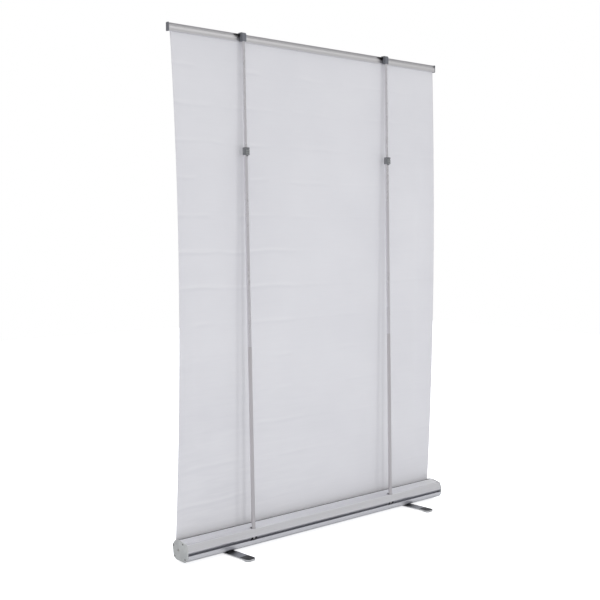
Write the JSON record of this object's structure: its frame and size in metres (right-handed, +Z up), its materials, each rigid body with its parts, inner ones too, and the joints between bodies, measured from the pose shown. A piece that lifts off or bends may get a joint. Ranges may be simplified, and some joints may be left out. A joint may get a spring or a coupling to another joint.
{
  "type": "roll-up banner stand",
  "caption": "Wide roll-up banner stand: blank fabric banner pulled from a floor cassette to a top rail held up by leaning telescopic poles, on swing-out feet.",
  "frame": {"origin": "on the floor, under the middle of the stand", "axes": "+Z up; -Y is the side that the printed face of the banner looks to; +X is the end with the slotted tension spindle"},
  "size_m": [1.5186, 0.3394, 2.1302],
  "materials": {
    "anodised_aluminium": "silver anodised, drawn lengthwise",
    "plated_steel": "bright zinc plated",
    "slate_plastic": "fine moulded texture, dark slate grey",
    "black_plastic": "moulded black",
    "grey_cap_plastic": "satin moulded, light grey",
    "black_felt": "dark needle felt",
    "banner_fabric": "plain white woven polyester, unprinted"
  },
  "bodies": {
    "cassette": {"banner": "banner_fabric", "cap_screw_left_1": "plated_steel", "cap_screw_left_2": "plated_steel", "cap_screw_left_3": "plated_steel", "cap_screw_left_4": "plated_steel", "cap_screw_right_1": "plated_steel", "cap_screw_right_2": "plated_steel", "cap_screw_right_3": "plated_steel", "cap_screw_right_4": "plated_steel", "clamp_body_left": "slate_plastic", "clamp_body_right": "slate_plastic", "end_cap_left": "grey_cap_plastic", "end_cap_right": "grey_cap_plastic", "foot_bolt_left": "plated_steel", "foot_bolt_right": "plated_steel", "foot_nut_left": "plated_steel", "foot_nut_right": "plated_steel", "foot_washer_left": "black_plastic", "foot_washer_right": "black_plastic", "housing_profile": "anodised_aluminium", "idler_pin": "plated_steel", "lever_pin_left": "plated_steel", "lever_pin_right": "plated_steel", "lower_tube_left": "anodised_aluminium", "lower_tube_right": "anodised_aluminium", "middle_tube_left": "anodised_aluminium", "middle_tube_right": "anodised_aluminium", "pole_joint_left": "plated_steel", "pole_joint_right": "plated_steel", "pole_plug_left": "black_plastic", "pole_plug_right": "black_plastic", "slot_felt": "black_felt"},
    "roller": {"roller_tube": "anodised_aluminium", "wound_banner": "banner_fabric", "roller_plug_left": "black_plastic", "roller_plug_right": "black_plastic"},
    "spindle": {"tension_spindle": "plated_steel", "spring_anchor": "black_plastic", "torsion_spring": "plated_steel"},
    "raised_top": {"rail_profile": "anodised_aluminium", "rail_cap_left": "slate_plastic", "rail_cap_right": "slate_plastic", "banner_strip": "black_plastic", "upper_tube_left": "anodised_aluminium", "tube_guide_left": "black_plastic", "hook_clip_left": "slate_plastic", "hook_wedge_left": "black_plastic", "upper_tube_right": "anodised_aluminium", "tube_guide_right": "black_plastic", "hook_clip_right": "slate_plastic", "hook_wedge_right": "black_plastic"},
    "left_lever": {"clamp_lever_left": "slate_plastic"},
    "right_lever": {"clamp_lever_right": "slate_plastic"},
    "left_foot": {"foot_left": "anodised_aluminium", "foot_insert_left_front": "black_plastic", "foot_insert_left_rear": "black_plastic"},
    "right_foot": {"foot_right": "anodised_aluminium", "foot_insert_right_front": "black_plastic", "foot_insert_right_rear": "black_plastic"}
  },
  "joints": [
    {"name": "height_slide", "type": "slide", "parent": "cassette", "child": "raised_top", "axis": [0, -0.026, 0.9997], "range_m": [-0.415, 0], "deforming": ["banner"]},
    {"name": "roller_spin", "type": "hinge", "parent": "cassette", "child": "roller", "pos_m": [0, -0.012, 0.052], "axis": [1, 0, 0], "range_deg": [0, 1020]},
    {"name": "spindle_turn", "type": "hinge", "parent": "cassette", "child": "spindle", "pos_m": [0.7, -0.012, 0.052], "axis": [1, 0, 0], "continuous": true},
    {"name": "left_lever_flip", "type": "hinge", "parent": "cassette", "child": "left_lever", "pos_m": [0.409, 0.00692, 1.66555], "axis": [1, 0, 0], "range_deg": [0, 105]},
    {"name": "right_lever_flip", "type": "hinge", "parent": "cassette", "child": "right_lever", "pos_m": [-0.409, 0.00692, 1.66555], "axis": [1, 0, 0], "range_deg": [0, 105]},
    {"name": "left_foot_swing", "type": "hinge", "parent": "cassette", "child": "left_foot", "pos_m": [0.533, 0, 0.0085], "axis": [0, 0, 1], "range_deg": [-96.3, 83.7]},
    {"name": "right_foot_swing", "type": "hinge", "parent": "cassette", "child": "right_foot", "pos_m": [-0.533, 0, 0.0085], "axis": [0, 0, 1], "range_deg": [-96.3, 83.7]}
  ],
  "couplings": [
    {"joint": "roller_spin", "follows": "height_slide", "rad_per_m": -42.735}
  ]
}
